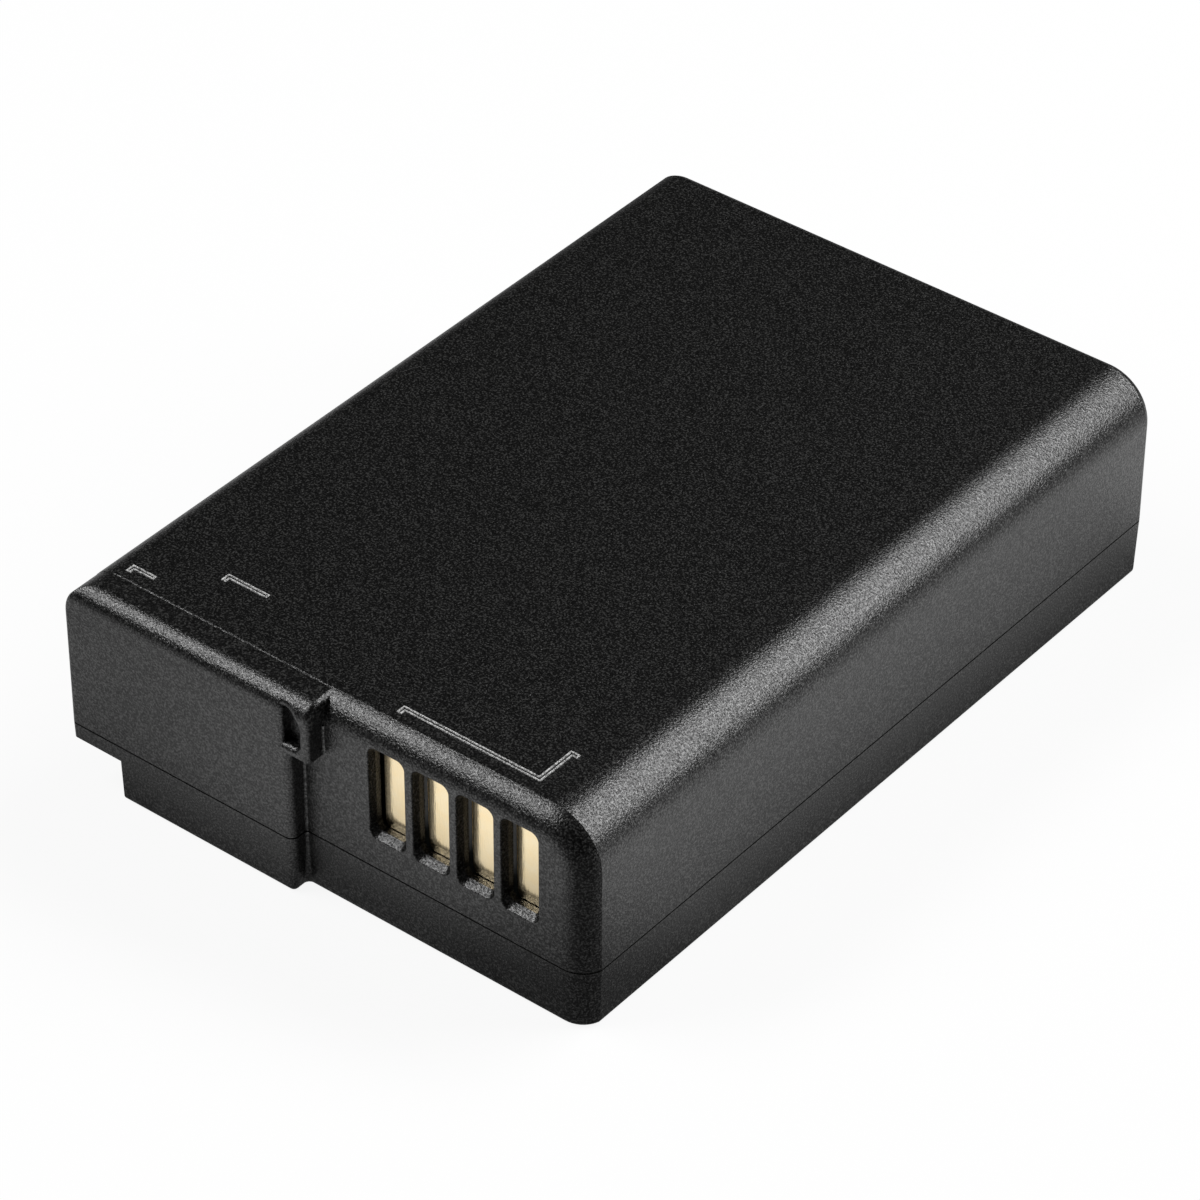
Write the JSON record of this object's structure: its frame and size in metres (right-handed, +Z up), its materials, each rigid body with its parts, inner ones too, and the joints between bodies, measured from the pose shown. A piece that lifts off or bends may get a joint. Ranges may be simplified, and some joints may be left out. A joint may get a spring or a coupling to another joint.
{
  "type": "camera battery",
  "caption": "Flat black rechargeable camera battery: a two-part moulded case with a keyed contact end, windows over gold contacts, and flat cells with a protection board inside.",
  "frame": {"origin": "middle of the underside of the case", "axes": "+X across the width towards the contact side, +Y along the length away from the contact end, +Z up"},
  "size_m": [0.0324, 0.0486, 0.0126],
  "materials": {
    "case_plastic": "black moulded plastic with a fine spark-eroded grain",
    "contact_gold": "gold-plated, satin",
    "board_laminate": "black solder mask on glass laminate",
    "chip_resin": "moulded black resin",
    "chip_ceramic": "fired ceramic with tinned ends",
    "can_aluminium": "drawn, satin",
    "strip_nickel": "nickel-plated, brushed",
    "gasket_plastic": "moulded polypropylene",
    "insulator_card": "pressed insulating board",
    "pad_foam": "adhesive foam"
  },
  "bodies": {
    "root": {"upper_case": "case_plastic", "lower_lid": "case_plastic", "contact_1": "contact_gold", "contact_2": "contact_gold", "contact_3": "contact_gold", "contact_4": "contact_gold", "circuit_board": "board_laminate", "protection_chip": "chip_resin", "switch_chip": "chip_resin", "thermal_cutoff": "chip_resin", "chip_resistors": "chip_ceramic", "chip_capacitors": "chip_ceramic", "thermistor": "chip_ceramic", "cell_upper": "can_aluminium", "cell_lower": "can_aluminium", "terminal_upper": "strip_nickel", "terminal_lower": "strip_nickel", "positive_pad_upper": "strip_nickel", "positive_pad_lower": "strip_nickel", "series_link": "strip_nickel", "positive_strip": "strip_nickel", "negative_strip": "strip_nickel", "negative_lead": "strip_nickel", "gasket_upper": "gasket_plastic", "gasket_lower": "gasket_plastic", "board_insulator": "insulator_card", "top_pad": "pad_foam", "cell_joining_pad": "pad_foam", "bottom_pad": "pad_foam", "end_pad": "pad_foam"}
  },
  "joints": []
}
